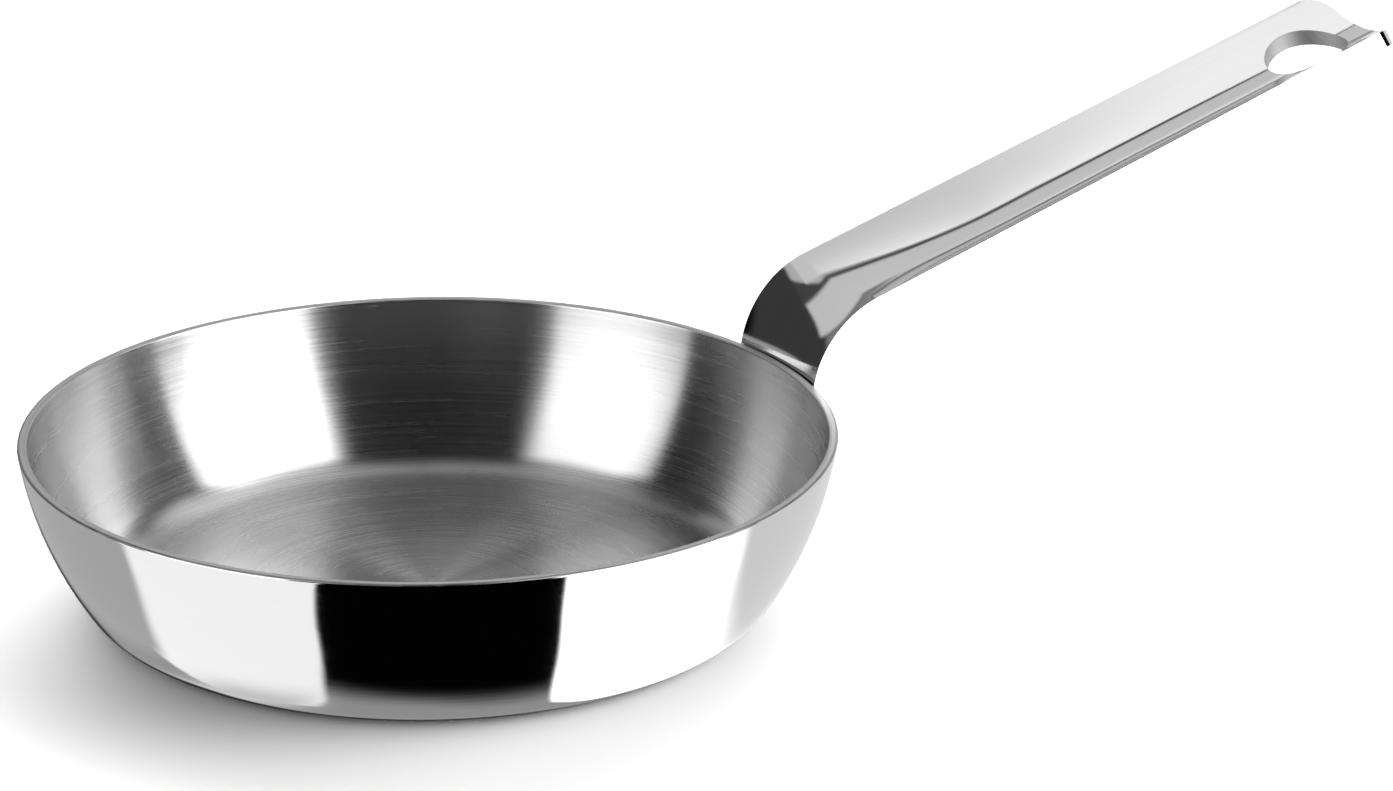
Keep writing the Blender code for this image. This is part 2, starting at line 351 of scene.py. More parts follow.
class StripPath:
    """Where the strip's cross rows lie, and how wide and deep its dish is there."""

    def __init__(self, sizes, bowl):
        self.sizes = sizes
        self.bowl = bowl
        foot_top = bowl.sizes.height - sizes.foot_below_rim
        self.end_lean = self.lean_outside(foot_top - sizes.foot_height)
        self.top_lean = self.lean_outside(foot_top)
        self.foot_arc = bowl.wall_radius + sizes.foot_gap
        self.bend_start = self.foot_arc * (self.end_lean - self.top_lean)
        self.start_angle = math.pi / 2 - self.top_lean
        self.bend_end = self.bend_start + sizes.bend_radius * (self.start_angle - sizes.arm_slope)
        self.length = self.bend_end + sizes.arm_length
        top_radius = bowl.point(self.top_lean, -sizes.foot_gap)[0]
        self.foot_dish = top_radius - math.sqrt(top_radius**2 - (sizes.foot_width / 2) ** 2)
        self.bend_from = (top_radius - self.foot_dish, foot_top)

    def lean_outside(self, height):
        """The lean at a height, on the skin moved out by the foot's gap."""
        share = (self.bowl.wall_centre[1] - height) / (self.bowl.wall_radius + self.sizes.foot_gap)
        if share <= math.sin(self.bowl.sizes.low_lean):
            return math.asin(share)
        corner = self.bowl.sizes.corner_radius
        return math.asin(min(1.0, (corner - height) / (corner + self.sizes.foot_gap)))

    def full_width(self, distance):
        """The strip's width, without its rounded corners."""
        sizes = self.sizes
        if distance <= self.bend_start:
            return sizes.foot_width
        if distance <= self.bend_end:
            share = (distance - self.bend_start) / (self.bend_end - self.bend_start)
            return sizes.foot_width + (sizes.bend_width - sizes.foot_width) * share
        share = (distance - self.bend_end) / (self.length - self.bend_end)
        return sizes.bend_width + (sizes.end_width - sizes.bend_width) * share

    def half_width(self, distance):
        """Half the width, drawn in along the rounded corners."""
        half = self.full_width(distance) / 2
        corner = self.sizes.corner_plan
        inward = corner - min(distance, self.length - distance)
        if inward <= 0.0:
            return half
        return half - corner + math.sqrt(max(0.0, corner**2 - inward**2))

    def row(self, distance):
        """A row's dish bottom (x, z), the angle that it faces in the XZ plane, and its full dish depth."""
        sizes = self.sizes
        if distance < self.bend_start:
            lean = self.end_lean - distance / self.foot_arc
            bottom = self.bowl.point(lean, -sizes.foot_gap)
            half = self.full_width(distance) / 2
            return bottom, math.pi, bottom[0] - math.sqrt(bottom[0] ** 2 - half**2)
        along = min(distance, self.bend_end) - self.bend_start
        angle = self.start_angle - along / sizes.bend_radius
        x = self.bend_from[0] + sizes.bend_radius * (math.sin(self.start_angle) - math.sin(angle))
        z = self.bend_from[1] + sizes.bend_radius * (math.cos(angle) - math.cos(self.start_angle))
        past = max(0.0, distance - self.bend_end)
        x += past * math.cos(sizes.arm_slope)
        z += past * math.sin(sizes.arm_slope)
        turned = (self.start_angle - angle) / (self.start_angle - sizes.arm_slope)
        facing = math.pi + (sizes.arm_slope - math.pi / 2) * turned
        run = self.bend_end - self.bend_start + sizes.dish_run
        grown = smooth_step((distance - self.bend_start) / run)
        depth = self.foot_dish + (sizes.dish_depth - self.foot_dish) * grown
        bottom = (x - depth * math.cos(facing), z - depth * math.sin(facing))
        return bottom, facing, depth

    def distances(self):
        """Where the rows lie, close together at the corners, on the foot and round the bend."""
        corner = self.sizes.corner_plan
        near = [corner * (1.0 - math.cos(math.pi / 2 * n / CORNER_ROWS)) for n in range(CORNER_ROWS + 1)]
        rows = list(near)
        for stop, count in (
            (self.bend_start, round((self.bend_start - corner) / FOOT_PITCH)),
            (self.bend_end, BEND_ROWS),
            (self.length - corner, round((self.length - corner - self.bend_end) / ARM_PITCH)),
        ):
            start = rows[-1]
            rows += [start + (stop - start) * n / count for n in range(1, count + 1)]
        rows += [self.length - back for back in near[-2::-1]]
        return rows


def extrude_strip(path):
    """The strip's upper face: one dished row, extruded, turned and scaled from the foot to the far end."""
    thing = start_point("strip_handle")
    distances = path.distances()
    bottom, facing, depth = path.row(distances[0])
    full = path.full_width(distances[0]) / 2
    radius = (full**2 + depth**2) / (2 * depth)
    half = path.half_width(distances[0])
    opening = math.asin(half / radius)
    # The first row is an arc spun about the dish's own axis, which faces the pan
    axis_point = Vector((bottom[0] + radius * math.cos(facing), 0.0, bottom[1] + radius * math.sin(facing)))
    edge = axis_point + Vector((radius * math.cos(opening), -half, 0.0))
    bpy.ops.transform.translate(value=edge)
    bpy.ops.mesh.spin(
        steps=STRIP_COLUMNS, angle=2 * opening, center=axis_point, axis=(0.0, 0.0, -1.0)
    )
    bpy.ops.mesh.select_all(action="SELECT")
    bpy.ops.mesh.remove_doubles(threshold=ROW_MERGE)
    bpy.ops.mesh.select_all(action="SELECT")
    rise = radius - math.sqrt(radius**2 - half**2)
    for distance in distances[1:]:
        next_bottom, next_facing, next_depth = path.row(distance)
        next_full = path.full_width(distance) / 2
        next_radius = (next_full**2 + next_depth**2) / (2 * next_depth)
        next_half = path.half_width(distance)
        next_rise = next_radius - math.sqrt(next_radius**2 - next_half**2)
        step = (next_bottom[0] - bottom[0], 0.0, next_bottom[1] - bottom[1])
        pivot = (next_bottom[0], 0.0, next_bottom[1])
        bpy.ops.mesh.extrude_region_move(TRANSFORM_OT_translate={"value": step})
        if abs(next_facing - facing) > SAME_ANGLE:
            bpy.ops.transform.rotate(
                value=next_facing - facing, orient_axis="Y", center_override=pivot
            )
        out = Vector((math.cos(next_facing), 0.0, math.sin(next_facing)))
        along = Vector((math.sin(next_facing), 0.0, -math.cos(next_facing)))
        axes = Matrix((along, Vector((0.0, 1.0, 0.0)), out)).transposed()
        bpy.ops.transform.resize(
            value=(1.0, next_half / half, next_rise / rise),
            orient_type="GLOBAL",
            orient_matrix=axes,
            orient_matrix_type="GLOBAL",
            center_override=pivot,
        )
        bottom, facing, half, rise = next_bottom, next_facing, next_half, next_rise
    # Extruding from the foot leaves the normals under the strip, and the dish side is its top
    bpy.ops.mesh.select_all(action="SELECT")
    bpy.ops.mesh.flip_normals()
    bpy.ops.object.mode_set(mode="OBJECT")
    return thing


def make_metal(name, colour, metallic=1.0, roughness=0.3):
    """A material with its Principled shader, its node tree and its Object coordinates."""
    material = bpy.data.materials.new(name)
    material.use_nodes = True
    tree = material.node_tree
    shader = tree.nodes["Principled BSDF"]
    shader.inputs["Base Color"].default_value = (*colour, 1.0)
    shader.inputs["Metallic"].default_value = metallic
    shader.inputs["Roughness"].default_value = roughness
    place = tree.nodes.new("ShaderNodeTexCoord").outputs["Object"]
    return material, tree, shader, place


def add_node(tree, kind, settings=None, values=None, links=None):
    """Adds a node with its settings, its socket values and the links into it."""
    node = tree.nodes.new(kind)
    for name, value in (settings or {}).items():
        setattr(node, name, value)
    for name, value in (values or {}).items():
        node.inputs[name].default_value = value
    for name, source in (links or {}).items():
        tree.links.new(source, node.inputs[name])
    return node


def give_material(thing, *materials):
    thing.data.materials.clear()
    for material in materials:
        thing.data.materials.append(material)


def finish_faces(thing, is_chosen):
    """Gives the chosen faces of a piece its second material."""
    pick(thing)
    bpy.ops.object.mode_set(mode="EDIT")
    bpy.ops.mesh.select_mode(type="FACE")
    bpy.ops.mesh.select_all(action="DESELECT")
    bpy.ops.object.mode_set(mode="OBJECT")
    for face in thing.data.polygons:
        face.select = is_chosen(face)
    bpy.ops.object.mode_set(mode="EDIT")
    thing.active_material_index = 1
    bpy.ops.object.material_slot_assign()
    bpy.ops.object.mode_set(mode="OBJECT")


def ring_place(tree, place, pitch, turn_marks):
    """Places for a pattern of rings: one unit is a pitch across them, and turn_marks units a radian along."""
    flat = add_node(
        tree, "ShaderNodeVectorMath", {"operation": "MULTIPLY"}, {1: (1.0, 1.0, 0.0)}, {0: place}
    ).outputs[0]
    radius = add_node(tree, "ShaderNodeVectorMath", {"operation": "LENGTH"}, None, {0: flat}).outputs["Value"]
    height = add_node(tree, "ShaderNodeSeparateXYZ", None, None, {0: place}).outputs["Z"]
    reach = add_node(tree, "ShaderNodeMath", {"operation": "ADD"}, None, {0: radius, 1: height}).outputs[0]
    across = add_node(tree, "ShaderNodeMath", {"operation": "DIVIDE"}, {1: pitch}, {0: reach}).outputs[0]
    bearing = add_node(
        tree, "ShaderNodeVectorMath", {"operation": "NORMALIZE"}, None, {0: flat}
    ).outputs[0]
    around = add_node(
        tree, "ShaderNodeVectorMath", {"operation": "SCALE"}, {"Scale": turn_marks}, {0: bearing}
    ).outputs[0]
    rise = add_node(tree, "ShaderNodeCombineXYZ", None, None, {"Z": across}).outputs[0]
    return add_node(tree, "ShaderNodeVectorMath", {"operation": "ADD"}, None, {0: around, 1: rise}).outputs[0]


def strip_place(tree, place, pitch, length):
    """Places for lines along the handle: one unit is a pitch across them and a length along."""
    sizes = (1.0 / length, 1.0 / pitch, 1.0 / length)
    return add_node(
        tree, "ShaderNodeVectorMath", {"operation": "MULTIPLY"}, {1: sizes}, {0: place}
    ).outputs[0]


def mottle(tree, vector, low, high, scale=1.0, detail=2.0):
    """Smooth uneven patches on the given places, spread between two levels."""
    noise = add_node(
        tree,
        "ShaderNodeTexNoise",
        None,
        {"Scale": scale, "Detail": detail, "Roughness": 0.55},
        {"Vector": vector},
    ).outputs["Fac"]
    return add_node(
        tree,
        "ShaderNodeMapRange",
        None,
        {"From Min": 0.3, "From Max": 0.7, "To Min": low, "To Max": high},
        {"Value": noise},
    ).outputs["Result"]


def finish_metal(tree, shader, colour, shades, roughness, relief):
    """Darkens a colour by its shades, sets the roughness and stacks the relief, each with its depth."""
    shaded = None
    for shade in shades:
        shaded = add_node(
            tree,
            "ShaderNodeVectorMath",
            {"operation": "SCALE"},
            {0: colour} if shaded is None else None,
            {"Scale": shade} if shaded is None else {0: shaded, "Scale": shade},
        ).outputs[0]
    tree.links.new(shaded, shader.inputs["Base Color"])
    tree.links.new(roughness, shader.inputs["Roughness"])
    surface = None
    for pattern, depth in relief:
        links = {"Height": pattern}
        if surface is not None:
            links["Normal"] = surface
        surface = add_node(
            tree, "ShaderNodeBump", None, {"Strength": 1.0, "Distance": depth}, links
        ).outputs["Normal"]
    tree.links.new(surface, shader.inputs["Normal"])


def polished_body_steel(colours):
    """Stainless steel pressed, ground in a lathe and buffed."""
    # A mirror with a faint haze where the buffing wheel left rings, and slow waves from the press
    material, tree, shader, place = make_metal("mirror polished stainless steel", colours.polished)
    # Buffing rings are about 0.02 mm apart, drawn 0.5 mm apart so that they show
    rings = ring_place(tree, place, 0.5 * MM, 5.0)
    waves = mottle(tree, place, 0.0, 1.0, scale=1.0 / (14.0 * MM), detail=0.0)
    finish_metal(
        tree,
        shader,
        colours.polished,
        (mottle(tree, rings, 0.985, 1.0),),
        mottle(tree, rings, 0.035, 0.06),
        ((waves, 0.02 * MM), (mottle(tree, rings, 0.0, 1.0), 0.0012 * MM)),
    )
    return material


def polished_strip_steel(colours):
    """Stainless steel strip, belt ground along its length and buffed."""
    # A mirror whose reflections run along the handle, with faint lengthwise polishing lines
    material, tree, shader, place = make_metal("mirror polished strip steel", colours.polished)
    # Belt lines are about 0.03 mm apart, drawn 0.4 mm apart and 25 mm long so that they show
    lines = strip_place(tree, place, 0.4 * MM, 25.0 * MM)
    waves = mottle(tree, place, 0.0, 1.0, scale=1.0 / (9.0 * MM), detail=0.0)
    finish_metal(
        tree,
        shader,
        colours.polished,
        (mottle(tree, lines, 0.975, 1.0),),
        mottle(tree, lines, 0.05, 0.085),
        ((waves, 0.012 * MM), (mottle(tree, lines, 0.0, 1.0), 0.0015 * MM)),
    )
    return material


def satin_steel(colours):
    """Stainless steel brushed in circles with an abrasive pad."""
    # Light smears up the wall and in fans across the floor, at right angles to fine rings
    material, tree, shader, place = make_metal("satin stainless steel", colours.satin)
    # Pad scratches are about 0.05 mm wide, drawn 0.35 mm wide so that they show
    fine = ring_place(tree, place, 0.35 * MM, 1.4)
    broad = ring_place(tree, place, 2.4 * MM, 0.8)
    scratches = mottle(tree, fine, 0.0, 1.0, detail=1.0)
    bands = mottle(tree, broad, 0.0, 1.0)
    shader.inputs["Anisotropic"].default_value = 1.0
    shader.inputs["Anisotropic Rotation"].default_value = 0.25
    along = add_node(
        tree, "ShaderNodeVectorMath", {"operation": "CROSS_PRODUCT"}, {0: (0.0, 0.0, 1.0)}, {1: place}
    ).outputs[0]
    tangent = add_node(
        tree, "ShaderNodeVectorMath", {"operation": "NORMALIZE"}, None, {0: along}
    ).outputs[0]
    tree.links.new(tangent, shader.inputs["Tangent"])
    finish_metal(
        tree,
        shader,
        colours.satin,
        (mottle(tree, fine, 0.86, 1.0, detail=1.0), mottle(tree, broad, 0.94, 1.0)),
        mottle(tree, fine, 0.235, 0.275, detail=1.0),
        ((bands, 0.003 * MM), (scratches, 0.0005 * MM)),
    )
    return material


def ground_edge(name, colour, low, high, rough=(0.3, 0.45)):
    """A cut edge of steel, ground with a belt or punched."""
    # A thin matt line with fine marks along it, its colour scaled between low and high; on the outer rim the
    # low levels are painted shade
    material, tree, shader, place = make_metal(name, colour)
    # Belt marks are about 0.05 mm wide and 3 mm long, drawn 0.25 mm wide
    marks = ring_place(tree, place, 0.25 * MM, 18.0)
    finish_metal(
        tree,
        shader,
        colour,
        (mottle(tree, marks, low, high),),
        mottle(tree, marks, *rough),
        ((mottle(tree, marks, 0.0, 1.0), 0.006 * MM),),
    )
    return material


def rolled_aluminium(colours):
    """Pure aluminium sheet between the steels, rolled onto them."""
    # Paler and softer than the steel beside it, and smeared where the rim was ground
    material, tree, shader, place = make_metal("rolled aluminium", colours.aluminium)
    # Smears of the soft metal are about 4 mm long and 0.3 mm wide
    smears = ring_place(tree, place, 0.3 * MM, 14.0)
    finish_metal(
        tree,
        shader,
        colours.aluminium,
        (mottle(tree, smears, 0.86, 1.0),),
        mottle(tree, smears, 0.38, 0.52),
        ((mottle(tree, smears, 0.0, 1.0), 0.008 * MM),),
    )
    return material


def fused_weld(colours):
    """Steel fused by a spot welder between the foot and the wall."""
    # Dull grey with straw and blue heat tint in patches
    material, tree, shader, place = make_metal("fused weld steel", colours.weld)
    # Ripples of the frozen pool are about 0.4 mm wide
    ripples = mottle(tree, place, 0.0, 1.0, scale=1.0 / (0.4 * MM))
    finish_metal(
        tree,
        shader,
        colours.weld,
        (ripples,),
        mottle(tree, place, 0.35, 0.6, scale=1.0 / (0.7 * MM)),
        ((ripples, 0.03 * MM),),
    )
    # Tint patches on a spot weld are about 2 mm wide
    tint = mottle(tree, place, 0.0, 1.0, scale=1.0 / (2.0 * MM), detail=4.0)
    ramp = add_node(tree, "ShaderNodeValToRGB", None, None, {"Fac": tint})
    stops = ramp.color_ramp.elements
    stops[0].color = (*linear_colour("6F7480"), 1.0)
    stops[1].color = (*linear_colour("A89878"), 1.0)
    stops.new(0.5).color = (*colours.weld, 1.0)
    tree.links.new(ramp.outputs["Color"], shader.inputs["Base Color"])
    return material


# The rim's centre as the camera sees it: to the right, up, and behind the lens
RIM_FROM_CAMERA = (-39.202 * MM, -5.245 * MM, -878.066 * MM)
SENSOR_WIDTH = 36.0
NEAREST_SEEN = 0.01
FARTHEST_SEEN = 50.0


def aim_camera(studio, bowl):
    """The camera, placed so that the rim's centre has its place in the picture."""
    bpy.ops.object.camera_add()
    camera = bpy.context.object
    camera.name = "camera"
    turn = Matrix.Rotation(studio.view_azimuth, 3, "Z")
    tilt = Matrix.Rotation(math.pi / 2 - studio.view_elevation, 3, "X")
    axes = turn @ tilt
    rim_centre = Vector((0.0, 0.0, bowl.sizes.height))
    camera.location = rim_centre - axes @ Vector(RIM_FROM_CAMERA)
    camera.rotation_euler = axes.to_euler()
    camera.data.lens = studio.lens
    camera.data.sensor_width = SENSOR_WIDTH
    camera.data.clip_start = NEAREST_SEEN
    camera.data.clip_end = FARTHEST_SEEN
    bpy.context.scene.camera = camera


def bearing_vector(studio, bearing, elevation):
    """A direction, by its bearing from the camera towards the picture's right and its height, in degrees."""
    turn = studio.view_azimuth + math.radians(bearing)
    rise = math.radians(elevation)
    return Vector(
        (math.sin(turn) * math.cos(rise), -math.cos(turn) * math.cos(rise), math.sin(rise))
    )


# What the polished faces see above the horizon, each painted over those before it. A panel has a name, a
# brightness, the softness of its edges in degrees, and its corners as bearing and elevation in degrees.
UPPER_PANELS = (
    ("gap behind on the left", 0.07, 4.0, ((-122, 28), (-122, 58), (-182, 52), (-182, 28))),
    ("ceiling behind on the right", 0.47, 6.0, ((95, 50), (140, 47), (180, 46), (0, 88))),
    ("ceiling behind on the left", 0.57, 3.0, ((180, 44.3), (-160, 45), (-125, 54), (-95, 54), (0, 88))),
    ("left softbox", 2.8, 4.5, ((-36, -25), (-36, 50), (-72, 50), (-72, -25))),
    ("left softbox edge", 2.8, 1.5, ((-46, -25), (-46, 50), (-85, 50), (-77, -25))),
    ("right softbox", 4.6, 6.0, ((80, -25), (80, 50), (38, 50), (38, -25))),
    ("right softbox edge", 4.6, 1.5, ((85, -25), (95, 50), (48, 50), (48, -25))),
    ("right wall", 0.92, 6.0, ((142, -14), (142, 15), (102, 15), (102, -14))),
    ("left wall above", 0.05, 4.0, ((-98, -4), (-96, 62), (-129, 62), (-137, -4))),
    ("left wall", 0.4, 3.0, ((-94, -16), (-94, 3), (-112, 3), (-122, 0), (-131, -6), (-131, -16))),
    ("behind on the right", 1.0, 6.0, ((182, -16), (182, 14), (140, 14), (140, -16))),
    ("behind on the right above", 0.46, 6.0, ((182, 14), (182, 38), (140, 34), (140, 14))),
    ("behind on the left", 0.26, 6.0, ((-138, -16), (-138, 14), (-178, 14), (-178, -16))),
    ("behind on the left above", 0.71, 3.0, ((-135, 14), (-134, 37), (-179, 40.3), (-179, 14))),
)
# What they see below it, as a glossy table mirrors the room. The corners are places on a level plane
# one unit under the pan: to the picture's right, and towards the camera.
LOWER_PANELS = (
    (
        "table behind",
        0.37,
        15.0,
        ((-4.0, -1.1), (-0.27, 0.11), (0.0, 0.14), (0.24, 0.04), (4.0, -2.2), (4.0, -4.0), (-4.0, -4.0)),
    ),
    (
        "left softbox in the table",
        1.25,
        2.0,
        (
            (-1.4, 2.9),
            (-0.64, 0.99),
            (-0.4, 0.39),
            (-0.29, -0.05),
            (-0.33, -0.21),
            (-0.57, -0.54),
            (-0.72, -0.7),
            (-4.0, -0.7),
            (-4.0, 2.9),
        ),
    ),
    (
        "left wall in the table",
        0.5,
        5.0,
        (
            (-0.69, -0.61),
            (-0.84, -0.46),
            (-1.05, -0.32),
            (-1.3, -0.23),
            (-1.61, -0.2),
            (-4.0, -0.1),
            (-4.0, -4.0),
            (-0.66, -4.0),
        ),
    ),
    (
        "left glow",
        0.75,
        11.0,
        (
            (-0.31, 0.06),
            (-0.47, -0.12),
            (-0.6, -0.34),
            (-0.62, -0.55),
            (-0.56, -1.0),
            (-0.1, -4.0),
            (-0.28, -0.3),
        ),
    ),
    (
        "right softbox in the table",
        2.2,
        1.5,
        (
            (2.0, 2.4),
            (0.78, 0.78),
            (0.6, 0.5),
            (0.36, 0.04),
            (0.3, -0.13),
            (0.22, -0.7),
            (0.2, -4.0),
            (4.0, -4.0),
            (4.0, 2.4),
        ),
    ),
    (
        "right wall in the table",
        0.81,
        11.0,
        (
            (0.42, -1.1),
            (0.62, -0.81),
            (0.91, -0.55),
            (1.25, -0.44),
            (1.58, -0.42),
            (4.0, -0.3),
            (4.0, -4.0),
            (0.1, -4.0),
            (0.1, -1.9),
        ),
    ),
    ("contact shade", 0.04, 6.0, ((-0.42, -0.85), (0.08, -0.95), (0.1, -2.3), (-0.7, -2.3))),
)
# Brightness of the room between its panels
SHELL_DARKNESS = 0.001
SHELL_RADIUS = 5.0
TABLE_SIZE = 12.0

# The white card over the handle. It fades between two places, given as shares of its length from its
# middle, and its two brightnesses run from the pan outwards.
CARD_PLACE = (170.0 * MM, 95.0 * MM, 250.0 * MM)
CARD_LENGTH = 240.0 * MM
CARD_WIDTH = 190.0 * MM
CARD_FADE = (-0.3, 0.05)
CARD_LEVELS = (0.75, 1.22)


def table_vector(studio, side, forward):
    """The direction from the pan to a place on a level plane one unit below it."""
    towards = bearing_vector(studio, 0, 0)
    across = bearing_vector(studio, 90, 0)
    return (towards * forward + across * side - Vector((0.0, 0.0, 1.0))).normalized()


def add_table(studio):
    deselect_all()
    bpy.ops.mesh.primitive_plane_add(size=TABLE_SIZE, location=(0.0, 0.0, 0.0))
    table = bpy.context.object
    table.name = "table"
    material, _, shader, _ = make_metal("white table", studio.table, metallic=0.0, roughness=0.9)
    shader.inputs["Specular IOR Level"].default_value = 0.0
    give_material(table, material)
    table.visible_glossy = False


def stage_light(thing, material):
    """Makes a stage piece that only polished faces see."""
    give_material(thing, material)
    thing.visible_camera = False
    thing.visible_diffuse = False
    thing.visible_shadow = False
    thing.visible_transmission = False
    thing.visible_volume_scatter = False


def light_material(name):
    material = bpy.data.materials.new(name)
    material.use_nodes = True
    tree = material.node_tree
    tree.nodes.remove(tree.nodes["Principled BSDF"])
    glow = add_node(tree, "ShaderNodeEmission")
    tree.links.new(glow.outputs[0], tree.nodes["Material Output"].inputs["Surface"])
    return material, tree, glow


def panel_share(tree, direction, corners, softness):
    """How far a direction lies inside a panel, from 0 to 1, with soft edges."""
    share = None
    middle = sum(corners, Vector())
    for first, second in zip(corners, corners[1:] + corners[:1]):
        inward = first.cross(second).normalized()
        if inward.dot(middle) < 0.0:
            inward.negate()
        depth = add_node(
            tree, "ShaderNodeVectorMath", {"operation": "DOT_PRODUCT"}, {1: inward}, {0: direction}
        ).outputs["Value"]
        edge = add_node(
            tree,
            "ShaderNodeMapRange",
            {"interpolation_type": "SMOOTHSTEP"},
            {"From Min": -softness / 2, "From Max": softness / 2},
            {"Value": depth},
        ).outputs["Result"]
        if share is None:
            share = edge
        else:
            share = add_node(
                tree, "ShaderNodeMath", {"operation": "MULTIPLY"}, None, {0: share, 1: edge}
            ).outputs[0]
    return share


def add_studio_shell(studio):
    """A dark room with soft panels, drawn on the inside of a large sphere."""
    deselect_all()
    bpy.ops.mesh.primitive_uv_sphere_add(segments=64, ring_count=32, radius=SHELL_RADIUS)
    shell = bpy.context.object
    shell.name = "studio_shell"
    material, tree, glow = light_material("studio panels")
    place = add_node(tree, "ShaderNodeTexCoord").outputs["Object"]
    direction = add_node(
        tree, "ShaderNodeVectorMath", {"operation": "NORMALIZE"}, None, {0: place}
    ).outputs[0]
    level = None
    panels = [(bearing_vector, panel) for panel in UPPER_PANELS]
    panels += [(table_vector, panel) for panel in LOWER_PANELS]
    for aim, (name, brightness, softness, corners) in panels:
        vectors = tuple(aim(studio, *corner) for corner in corners)
        share = panel_share(tree, direction, vectors, math.radians(softness))
        mixed = add_node(
            tree,
            "ShaderNodeMix",
            {"data_type": "FLOAT", "label": name},
            {"A": SHELL_DARKNESS, "B": brightness},
            {"Factor": share},
        )
        if level is not None:
            tree.links.new(level, mixed.inputs["A"])
        level = mixed.outputs["Result"]
    # The panels leave no bright patches on the table beside the pan
    bounces = add_node(tree, "ShaderNodeLightPath").outputs["Diffuse Depth"]
    is_direct = add_node(
        tree, "ShaderNodeMath", {"operation": "LESS_THAN"}, {1: 0.5}, {0: bounces}
    ).outputs[0]
    seen = add_node(
        tree, "ShaderNodeMath", {"operation": "MULTIPLY"}, None, {0: level, 1: is_direct}
    ).outputs[0]
    tree.links.new(seen, glow.inputs["Strength"])
    stage_light(shell, material)


def add_handle_card():
    """A white card over the handle, which its dish shows as a long bright band."""
    deselect_all()
    bpy.ops.mesh.primitive_plane_add(size=1.0, location=CARD_PLACE)
    card = bpy.context.object
    card.name = "handle_card"
    bpy.ops.transform.resize(value=(CARD_LENGTH, CARD_WIDTH, 1.0))
    material, tree, glow = light_material("white card")
    # Dimmer over the pan, so that the handle greys towards its bend
    place = add_node(tree, "ShaderNodeTexCoord").outputs["Object"]
    along = add_node(tree, "ShaderNodeSeparateXYZ", None, None, {0: place}).outputs["X"]
    level = add_node(
        tree,
        "ShaderNodeMapRange",
        {"interpolation_type": "SMOOTHSTEP"},
        {
            "From Min": CARD_FADE[0],
            "From Max": CARD_FADE[1],
            "To Min": CARD_LEVELS[0],
            "To Max": CARD_LEVELS[1],
        },
        {"Value": along},
    ).outputs["Result"]
    tree.links.new(level, glow.inputs["Strength"])
    stage_light(card, material)


# Low windows that light the table, each with its bearing and half width in degrees and its brightness
ROOM_WINDOWS = (
    ("right", 93.0, 57.0, 18.5),
    ("behind", -178.0, 65.0, 18.6),
    ("front left", -37.0, 99.0, 1.7),
)


def add_room(context, studio):
    """A white room round the table, lit through wide low windows, which polished faces don't see."""
    world = bpy.data.worlds.new("studio room")
    context.scene.world = world
    world.use_nodes = True
    world.cycles_visibility.glossy = False
    tree = world.node_tree
    direction = add_node(tree, "ShaderNodeTexCoord").outputs["Generated"]
    height = add_node(tree, "ShaderNodeSeparateXYZ", None, None, {0: direction}).outputs["Z"]
    level = add_node(
        tree,
        "ShaderNodeMapRange",
        {"interpolation_type": "SMOOTHSTEP"},
        {"From Min": 0.1, "From Max": 0.2, "To Min": studio.room_light, "To Max": 0.0},
        {"Value": height},
    ).outputs["Result"]
    for name, bearing, half_width, brightness in ROOM_WINDOWS:
        facing = add_node(
            tree,
            "ShaderNodeVectorMath",
            {"operation": "DOT_PRODUCT"},
            {1: bearing_vector(studio, bearing, 0.0)},
            {0: direction},
        ).outputs["Value"]
        angle = add_node(tree, "ShaderNodeMath", {"operation": "ARCCOSINE"}, None, {0: facing}).outputs[0]
        glow = add_node(
            tree,
            "ShaderNodeMapRange",
            {"interpolation_type": "SMOOTHSTEP", "label": name},
            {"From Min": 0.0, "From Max": math.radians(half_width), "To Min": brightness, "To Max": 0.0},
            {"Value": angle},
        ).outputs["Result"]
        level = add_node(tree, "ShaderNodeMath", {"operation": "ADD"}, None, {0: level, 1: glow}).outputs[0]
    background = tree.nodes["Background"]
    background.inputs["Color"].default_value = (1.0, 1.0, 1.0, 1.0)
    tree.links.new(level, background.inputs["Strength"])


class BLINIPAN_OT_body(bpy.types.Operator):
    """Model the three plies of the bowl"""

    bl_idname = "blinipan.body"
    bl_label = "Body"

    def execute(self, context):
        settings = context.scene.blini_pan
        bowl = BowlShape(settings.body)
        sizes = settings.body
        half_gap = sizes.bond_gap / 2
        core_from = sizes.outer_ply
        core_to = core_from + sizes.core_ply
        plies = (
            ("outer_skin", "outer_ply", "outer_steel", 0.0, core_from - half_gap),
            ("core_sheet", "core_ply", "aluminium_core", core_from + half_gap, core_to - half_gap),
            ("inner_skin", "inner_ply", "inner_steel", core_to + half_gap, bowl.sheet),
        )
        colours = settings.colours
        finishes = {
            "outer_skin": (
                polished_body_steel(colours),
                # Painted shade: the outer ply's ground rim is drawn at about half the inner one's brightness,
                # so the lip's outside reads darker
                ground_edge("ground steel edge outside with painted shade", colours.polished, 0.4, 0.55),
            ),
            "core_sheet": (rolled_aluminium(colours),),
            "inner_skin": (
                satin_steel(colours),
                ground_edge("ground steel edge inside", colours.satin, 0.85, 1.0),
            ),
        }
        for name, node, slot, outer_inset, inner_inset in plies:
            ply = spin_ply(name, ply_outline(bowl, outer_inset, inner_inset))
            give_material(ply, *finishes[name])
            if len(finishes[name]) > 1:
                rim = sizes.height - RIM_BAND
                finish_faces(ply, lambda face: face.center.z > rim and face.normal.z > RIM_FACING)
            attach(ply, "root")
            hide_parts(node)
        return {"FINISHED"}


